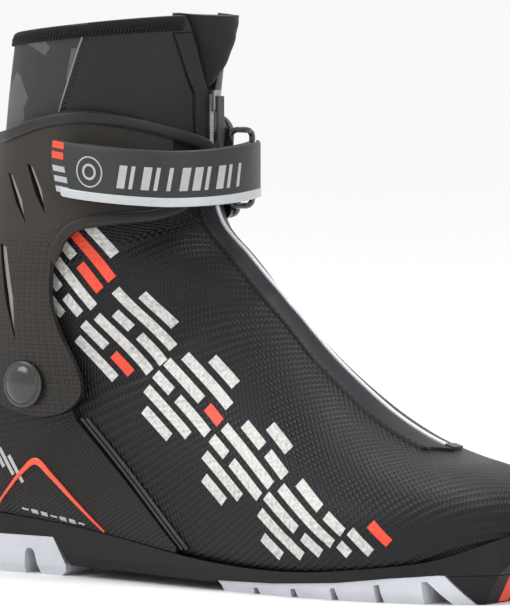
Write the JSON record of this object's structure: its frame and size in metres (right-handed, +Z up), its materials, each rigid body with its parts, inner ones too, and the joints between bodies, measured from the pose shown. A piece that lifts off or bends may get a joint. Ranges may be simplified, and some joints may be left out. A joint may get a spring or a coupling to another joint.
{
  "type": "cross country ski boot",
  "caption": "Right skate boot for cross country skiing: zipped softshell upper, hinged ankle cuff with a strap and ring, and a grooved binding sole with a toe bar.",
  "frame": {"origin": "centre of the bounding box at the ground, under the middle of the boot", "axes": "+X to the toe, +Y to the inner side of a right foot, +Z up"},
  "size_m": [0.296, 0.1024, 0.2385],
  "materials": {
    "black_rubber": "matte moulded rubber",
    "pale_tread": "pale grey ribbed rubber, scuffed underneath",
    "orange_plastic": "satin red-orange moulding",
    "bar_steel": "turned steel",
    "black_softshell": "black stretch softshell with small embossed dots",
    "grey_softshell": "smooth dark grey stretch softshell",
    "mottled_fabric": "fabric printed in mottled grey and dark brown",
    "black_elastic": "woven elastic",
    "brown_fleece": "brushed brown-black fleece",
    "lining": "padded textile lining",
    "puff_board": "thermoformed sheet",
    "board": "fibre board",
    "shank_plastic": "fibre-filled plastic",
    "insole_foam": "foam with a textile face",
    "zip_tape": "coated woven tape",
    "zip_coil": "coated coil",
    "dark_plastic": "satin black moulding",
    "counter_plastic": "dark grey-brown moulding with a mesh relief",
    "cuff_plastic": "brown-black moulding with a fine waffle relief",
    "edge_rubber": "matte rubber edging",
    "rivet_plastic": "polished dark cap",
    "bush_plastic": "acetal",
    "strap_laminate": "coated strap, dark grey with printed bars",
    "reflective_tape": "silver retroreflective tape",
    "hook_and_loop": "hook and loop fastener",
    "ring_plastic": "polished black wire ring",
    "slider_metal": "lacquered zinc"
  },
  "bodies": {
    "foot": {"outsole": "black_rubber", "heel_tread": "pale_tread", "forefoot_tread_outer": "pale_tread", "forefoot_tread_middle": "pale_tread", "forefoot_tread_inner": "pale_tread", "toe_tread": "black_rubber", "toe_insert": "orange_plastic", "toe_bar": "bar_steel", "upper": "black_softshell", "toe_puff": "puff_board", "liner_foot": "lining", "lasting_board": "board", "shank": "shank_plastic", "insole": "insole_foam", "zip_tape_lower": "zip_tape", "zip_coil_lower": "zip_coil", "zip_guard_lower": "black_softshell", "zip_end_stop": "dark_plastic", "ankle_flex": "black_softshell", "liner_flex": "lining", "heel_counter": "counter_plastic", "accent_trim_outer": "orange_plastic", "accent_trim_inner": "orange_plastic", "side_rib_outer": "dark_plastic", "side_rib_inner": "dark_plastic", "pivot_rivet_outer": "rivet_plastic", "pivot_rivet_inner": "rivet_plastic", "pivot_washer_outer": "bar_steel", "pivot_washer_inner": "bar_steel"},
    "cuff": {"cuff_shell": "cuff_plastic", "cuff_edge_trim": "edge_rubber", "pivot_bush_outer": "bush_plastic", "pivot_bush_inner": "bush_plastic", "collar_outer": "grey_softshell", "collar_inner": "grey_softshell", "collar_back": "mottled_fabric", "collar_binding": "black_elastic", "liner_shaft": "lining", "front_gusset": "brown_fleece", "zip_tape_upper": "zip_tape", "zip_coil_upper": "zip_coil", "zip_guard_upper": "black_softshell", "strap_anchor": "strap_laminate", "loop_pad": "hook_and_loop", "ring_webbing": "black_elastic"},
    "ring": {"strap_ring": "ring_plastic"},
    "strap": {"strap": "strap_laminate", "strap_reflective_tape": "reflective_tape", "hook_pad": "hook_and_loop"},
    "slider": {"zip_slider": "slider_metal"},
    "pull": {"zip_pull": "dark_plastic"}
  },
  "joints": [
    {"name": "cuff_lean", "type": "hinge", "parent": "foot", "child": "cuff", "pos_m": [-0.08749, 0.00207, 0.082], "axis": [0, 1, 0], "range_deg": [0, 12], "deforming": ["ankle_flex", "liner_flex"]},
    {"name": "ring_swing", "type": "hinge", "parent": "cuff", "child": "ring", "pos_m": [-0.02099, 0.01307, 0.173], "axis": [0, 0, 1], "range_deg": [0, 25]},
    {"name": "strap_swing", "type": "hinge", "parent": "ring", "child": "strap", "pos_m": [-0.01349, 0.01807, 0.173], "axis": [0, 0, 1], "range_deg": [0, 90]},
    {"name": "zip_travel", "type": "slide", "parent": "cuff", "child": "slider", "axis": [0, 0, 1], "range_m": [-0.02, 0]},
    {"name": "pull_flip", "type": "hinge", "parent": "slider", "child": "pull", "pos_m": [-0.0228, 0.0084, 0.2022], "axis": [0, 1, 0], "range_deg": [-30, 0]}
  ]
}
